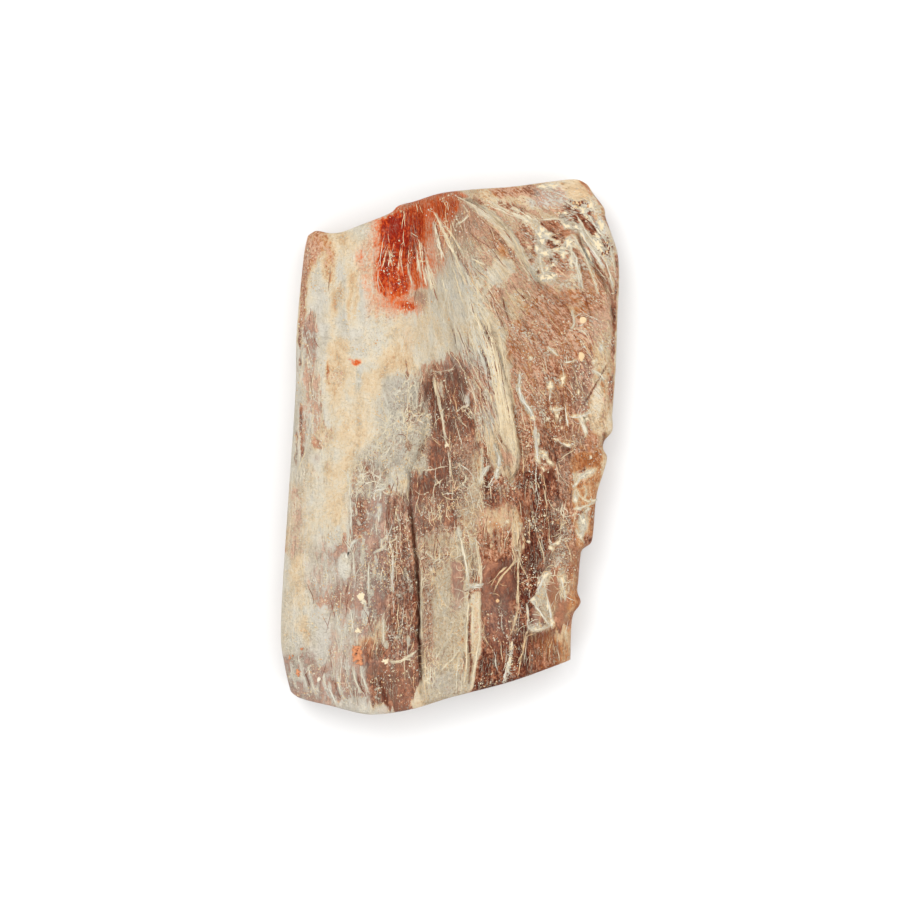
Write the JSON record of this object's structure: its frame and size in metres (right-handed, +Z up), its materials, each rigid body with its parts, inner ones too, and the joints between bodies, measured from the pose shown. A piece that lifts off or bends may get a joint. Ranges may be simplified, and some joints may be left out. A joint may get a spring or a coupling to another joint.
{
  "type": "raw lamb ribs",
  "caption": "Frozen slab of raw lamb ribs, lying flat: fat and muscle sheets lap over its top, its ends are sawn, and low rib ridges cross its underside.",
  "frame": {"origin": "under the middle of the slab's box, on the surface it rests on", "axes": "+Y along the slab, +X across it towards its torn side, +Z up out of the fat-covered face"},
  "size_m": [0.1686, 0.266, 0.0306],
  "materials": {
    "frozen_meat": "matte frozen fat and muscle with light frost"
  },
  "bodies": {
    "root": {"lamb_ribs": "frozen_meat"}
  },
  "joints": []
}
